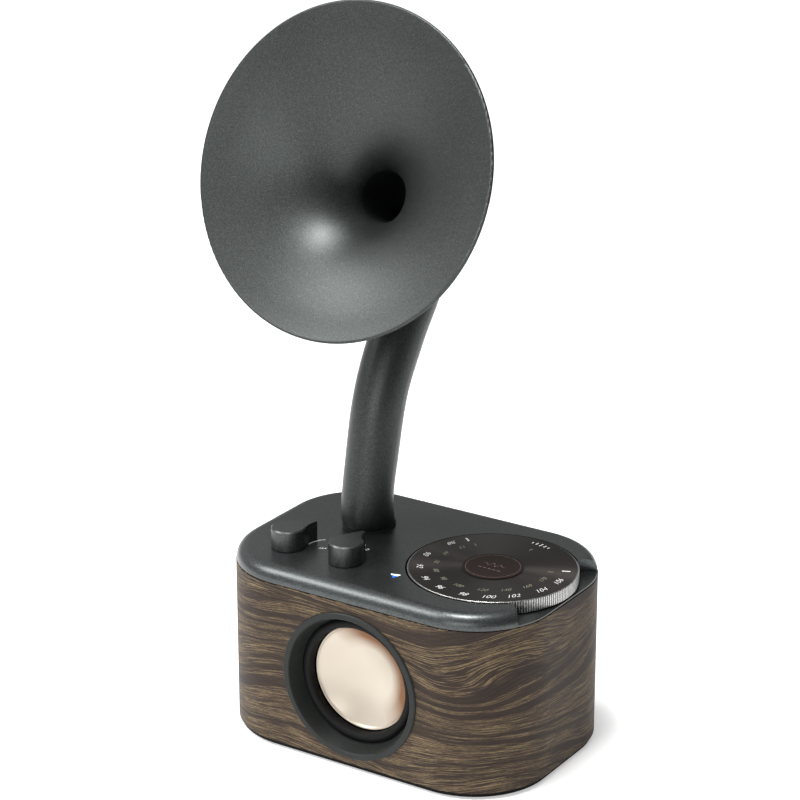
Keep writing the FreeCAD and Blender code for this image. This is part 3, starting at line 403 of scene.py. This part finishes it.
def link(name, mesh, material, body=None):
    piece = bpy.data.objects.new(name, mesh)
    bpy.context.scene.collection.objects.link(piece)
    mesh.materials.clear()
    mesh.materials.append(material)
    if body:
        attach(piece, body)
    return piece


def made(name, form, smooth=False):
    """The form's mesh, its faces turned outwards."""
    bmesh.ops.recalc_face_normals(form, faces=form.faces)
    for face in form.faces:
        face.smooth = smooth
    mesh = bpy.data.meshes.new(name)
    form.to_mesh(mesh)
    form.free()
    return mesh


def about_driver(radius, depth, turn=0.0):
    """A point about the driver's axis, from millimetres. Depth is measured into the cabinet."""
    return (DRIVER.x + radius * MM * math.cos(turn), FRONT + depth * MM,
            DRIVER.z + radius * MM * math.sin(turn))


def revolved(outline, steps=160):
    """A mesh turned about the driver's axis from a closed outline of (radius, depth)."""
    form = bmesh.new()
    rings = []
    for radius, depth in outline:
        turns = [math.tau * i / steps for i in range(steps)] if radius else [0.0]
        rings.append([form.verts.new(about_driver(radius, depth, turn)) for turn in turns])
    for first, second in zip(rings, rings[1:] + rings[:1]):
        if len(first) == 1 and len(second) == 1:
            continue
        for i in range(steps):
            j = (i + 1) % steps
            loop = [first[i % len(first)], first[j % len(first)],
                    second[j % len(second)], second[i % len(second)]]
            form.faces.new([v for k, v in enumerate(loop) if v not in loop[:k]])
    return made("turned", form, smooth=True)


def arc(radius, depth, reach, rise, first, last, steps=12):
    """Part of an ellipse in the driver's section, between two angles in degrees."""
    turns = [math.radians(first + (last - first) * i / steps) for i in range(steps + 1)]
    return [(radius + reach * math.cos(turn), depth - rise * math.sin(turn)) for turn in turns]


def bowl(drop, steps=20):
    """The dish's section from the middle outwards."""
    rim_radius, rim_depth, hollow = 25.2, 11.1, 7
    return [(rim_radius * i / steps, rim_depth + hollow * (1 - (i / steps) ** 2) + drop)
            for i in range(steps + 1)]


dish_edge = arc(25.55, 11.1, 0.35, 0.25, 170, 10, 6) + [(25.9, 11.55)]
dish = link("driver_dish", revolved(bowl(0) + dish_edge + bowl(0.5)[::-1]), DISH, "cone")
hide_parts("diaphragm")

roll_top = arc(28.25, 7.3, 1.95, 1.6, 180, 0)
roll_under = arc(28.35, 8.0, 1.45, 1.4, 0, 180)
outer_lip = [(33.4, 7.3), (33.4, 8.0)]
roll = [(26.3, 10.4)] + roll_top + outer_lip + roll_under + [(26.9, 10.4)]
surround = link("soft_surround", revolved(roll), RUBBER)
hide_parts("driver_surround")
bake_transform(surround)


def rolled_edge(centre, reach, radius, steps=240, sides=10):
    """A thin round edge lying flat round a centre."""
    form = bmesh.new()
    rows = []
    for i in range(steps):
        turn = math.tau * i / steps
        row = []
        for k in range(sides):
            lean = math.tau * k / sides
            out = reach + radius * math.cos(lean)
            row.append(form.verts.new((centre.x + out * math.cos(turn), centre.y + out * math.sin(turn),
                                       centre.z + radius * math.sin(lean))))
        rows.append(row)
    for first, second in zip(rows, rows[1:] + rows[:1]):
        for k in range(sides):
            form.faces.new((first[k], second[k], second[(k + 1) % sides], first[(k + 1) % sides]))
    return made("edge", form, smooth=True)


ring_centre = Vector((DIAL.x, DIAL.y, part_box("dial_ring")[1][2]))
dial_edge = link("dial_edge", rolled_edge(ring_centre, 39.3 * MM, 0.3 * MM), SILVER, "dial")

# ---- printed marks ----
PRINT_HEIGHT = 0.03 * MM


def joined(name, parts, material, body):
    """One printed piece from a list of (mesh, matrix)."""
    form = bmesh.new()
    for mesh, matrix in parts:
        mesh.transform(matrix)
        form.from_mesh(mesh)
        bpy.data.meshes.remove(mesh)
    mesh = bpy.data.meshes.new(name)
    form.to_mesh(mesh)
    form.free()
    return link(name, mesh, material, body)


def numeral(text, size):
    curve = bpy.data.curves.new("numeral", "FONT")
    curve.body = text
    curve.size = size
    curve.align_x = "CENTER"
    curve.align_y = "CENTER"
    curve.shear = 0.35
    curve.offset = -0.01 * size
    curve.extrude = 0.02 * MM
    holder = bpy.data.objects.new("numeral", curve)
    bpy.context.scene.collection.objects.link(holder)
    settled = holder.evaluated_get(bpy.context.evaluated_depsgraph_get())
    mesh = bpy.data.meshes.new_from_object(settled)
    bpy.data.objects.remove(holder)
    bpy.data.curves.remove(curve)
    return mesh


def bar(length, width, round_steps=6):
    """A flat bar with round ends, lying along Y."""
    form = bmesh.new()
    half = width / 2
    turns = [math.pi * i / round_steps for i in range(round_steps + 1)]
    edge = [(half * math.cos(turn), (length / 2 - half) + half * math.sin(turn)) for turn in turns]
    edge += [(-x, -y) for x, y in edge]
    low, high = [[form.verts.new((x, y, level)) for x, y in edge] for level in (0, PRINT_HEIGHT)]
    form.faces.new(low[::-1])
    form.faces.new(high)
    for k in range(len(edge)):
        form.faces.new((low[k - 1], low[k], high[k], high[k - 1]))
    return made("bar", form)


def stroke(name, form, rows):
    """A closed strip from a row of four-cornered sections."""
    for first, second in zip(rows, rows[1:]):
        for k in range(4):
            form.faces.new((first[k], first[(k + 1) % 4], second[(k + 1) % 4], second[k]))
    form.faces.new(rows[0])
    form.faces.new(rows[-1][::-1])
    return made(name, form)


def sweep(centre, reach, first, last, thin, thick, height, steps=24):
    """A flat crescent round a centre whose width grows from thin to thick. Angles are in degrees."""
    form = bmesh.new()
    top = height + PRINT_HEIGHT
    rows = []
    for i in range(steps + 1):
        turn = math.radians(first + (last - first) * i / steps)
        half = (thin + (thick - thin) * i / steps) / 2
        rows.append([form.verts.new((centre.x + (reach + side * half) * math.cos(turn),
                                     centre.y + (reach + side * half) * math.sin(turn), level))
                     for side, level in ((-1, height), (1, height), (1, top), (-1, top))])
    return stroke("sweep", form, rows)


def ripple_line(length, swing, turns, width, steps=72):
    """A flat wavy stroke along X, thin at both ends."""
    form = bmesh.new()
    rows = []
    for i in range(steps + 1):
        share = i / steps
        half = width * (0.15 + 0.85 * math.sin(math.pi * share)) / 2
        x = (share - 0.5) * length
        y = swing * math.sin(math.tau * turns * share) * math.sin(math.pi * share)
        rows.append([form.verts.new((x, y + side * half, level * PRINT_HEIGHT))
                     for side, level in ((-1, 0), (1, 0), (1, 1), (-1, 1))])
    return stroke("ripple", form, rows)


def on_dial(degrees, reach, height=DIAL_TOP + 0.02 * MM):
    """The place and turn of a mark on the dial whose top points at the dial's centre."""
    turn = math.radians(degrees)
    place = (DIAL.x + reach * math.cos(turn), DIAL.y + reach * math.sin(turn), height)
    return Matrix.Translation(place) @ Matrix.Rotation(turn + math.pi / 2, 4, "Z")


OUTER = {156: "88", 186: "90", 211: "92", 234.5: "94", 255: "96", 277: "98", 297: "100", 316.5: "102",
         341: "104", 362.5: "106"}
INNER = {153: "53", 176: "60", 199: "70", 221: "80", 242: "90", 264: "100", 290: "120", 313: "140",
         336: "160", 359: "170"}
FAN_BARS = {72: 1.6, 76: 2.4, 80: 3.2, 84: 2.4, 88: 1.6}
marks = [(numeral(text, 4.4 * MM), on_dial(turn, 34 * MM)) for turn, text in OUTER.items()]
marks += [(bar(4.2 * MM, 0.9 * MM), on_dial(turn, 34 * MM)) for turn in (142, 24)]
marks += [(bar(length * MM, 0.7 * MM), on_dial(turn, 34.5 * MM)) for turn, length in FAN_BARS.items()]
joined("dial_outer_marks", marks, PRINT, "dial")
marks = [(numeral(text, 3.5 * MM), on_dial(turn, 26.8 * MM)) for turn, text in INNER.items()]
marks += [(bar(2.6 * MM, 0.6 * MM), on_dial(turn, 27 * MM)) for turn in (139, 20, 80)]
joined("dial_inner_marks", marks, PRINT_DIM, "dial")

label_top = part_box("dial_label")[1][2] + 0.01 * MM
quarter_turn = Matrix.Rotation(math.pi / 2, 4, "Z")
wave_place = Matrix.Translation((DIAL.x, DIAL.y + 1.5 * MM, label_top))
ornament = [(sweep(DIAL, 12.8 * MM, 0, 359.9, 0.15 * MM, 0.15 * MM, label_top, 96), Matrix()),
            (ripple_line(12 * MM, 1.6 * MM, 3, 0.5 * MM), wave_place)]
for offset in (-5, -2.5, 0, 2.5, 5):
    place = Matrix.Translation((DIAL.x + offset * MM, DIAL.y - 3.5 * MM, label_top))
    ornament.append((bar(1.8 * MM, 0.4 * MM), place @ quarter_turn))
joined("dial_label_ornament", ornament, PRINT_BROWN, "dial")

deck = DECK_TOP + 0.01 * MM
volume_sweep = KNOBS[0] + Vector((18.1, 7.2, 0)) * MM
function_sweep = KNOBS[1] + Vector((-10, 21, 0)) * MM
marks = [(sweep(volume_sweep, 12 * MM, 132, 181, 0.4 * MM, 1.4 * MM, deck), Matrix()),
         (sweep(function_sweep, 5 * MM, 20, 80, 0.2 * MM, 0.7 * MM, deck), Matrix())]
# Short bars beside the knobs: which knob, place from its axis in millimetres, turn in degrees.
DECK_BARS = ((0, 13.6, 6.4, -15), (0, 14.8, 6.8, -15), (0, 16.0, 7.2, -15),
             (1, 0.6, 16.3, 70), (1, 0.9, 17.6, 70), (1, -3.0, 20.6, 20))
for index, x, y, turn in DECK_BARS:
    knob = KNOBS[index]
    place = Matrix.Translation(knob) @ Matrix.Translation((x * MM, y * MM, deck - knob.z))
    marks.append((bar(1.5 * MM, 0.5 * MM), place @ Matrix.Rotation(math.radians(turn), 4, "Z")))
joined("deck_marks", marks, PRINT, "cabinet")

# ---- floor and light ----
floor_mesh = bpy.data.meshes.new("floor")
form = bmesh.new()
bmesh.ops.create_grid(form, x_segments=8, y_segments=8, size=9)
form.to_mesh(floor_mesh)
form.free()
floor = bpy.data.objects.new("floor", floor_mesh)
bpy.context.scene.collection.objects.link(floor)
floor.location.z = cad_box[0][2]
floor_finish = Finish("floor_paper", Specular_IOR_Level=0.2)
floor_finish.colour(floor_finish.ramp(floor_finish.noise(3.0, detail=4.0), 0.3, "f4f4f4", 0.7, "f8f8f8"))
floor_finish.shader.inputs["Emission Color"].default_value = (1, 1, 1, 1)
floor_finish.shader.inputs["Emission Strength"].default_value = 0.4
floor_finish.roughness(floor_finish.noise(9.0), 0.75, 0.9)
floor_mesh.materials.append(floor_finish.material)

world = bpy.data.worlds.new("studio")
bpy.context.scene.world = world
world.use_nodes = True
sky = world.node_tree.nodes
place = sky.new("ShaderNodeTexCoord")
dot = sky.new("ShaderNodeVectorMath")
dot.operation = "DOT_PRODUCT"
dot.inputs[1].default_value = Vector((-0.75, -0.3, 0.55)).normalized()
ramp = sky.new("ShaderNodeValToRGB")
ramp.color_ramp.elements[0].position = 0.3
ramp.color_ramp.elements[0].color = (0.07, 0.07, 0.07, 1)
ramp.color_ramp.elements[1].position = 0.95
ramp.color_ramp.elements[1].color = (0.7, 0.7, 0.7, 1)
half = sky.new("ShaderNodeMapRange")
half.inputs["From Min"].default_value = -1
world.node_tree.links.new(place.outputs["Generated"], dot.inputs[0])
world.node_tree.links.new(dot.outputs["Value"], half.inputs["Value"])
world.node_tree.links.new(half.outputs["Result"], ramp.inputs["Fac"])
world.node_tree.links.new(ramp.outputs["Color"], sky["Background"].inputs["Color"])
sky["Background"].inputs["Strength"].default_value = 1.0


def softbox(name, at, aim, width, height, watts):
    data = bpy.data.lights.new(name, "AREA")
    data.shape = "RECTANGLE"
    data.size = width
    data.size_y = height
    data.energy = watts
    lamp = bpy.data.objects.new(name, data)
    bpy.context.scene.collection.objects.link(lamp)
    lamp.location = at
    lamp.rotation_euler = (Vector(aim) - Vector(at)).to_track_quat("-Z", "Y").to_euler()


softbox("key_light", (-1.35, -0.95, 1.75), (0, 0, 0.12), 1.0, 1.0, 34)
softbox("top_light", (-0.08, -0.27, 1.7), (-0.05, 0, 0.2), 0.42, 0.42, 26)
softbox("front_light", (0.5, -2.4, 0.9), (0, 0, 0.1), 1.6, 0.8, 16)
bpy.context.scene.view_settings.view_transform = "Standard"
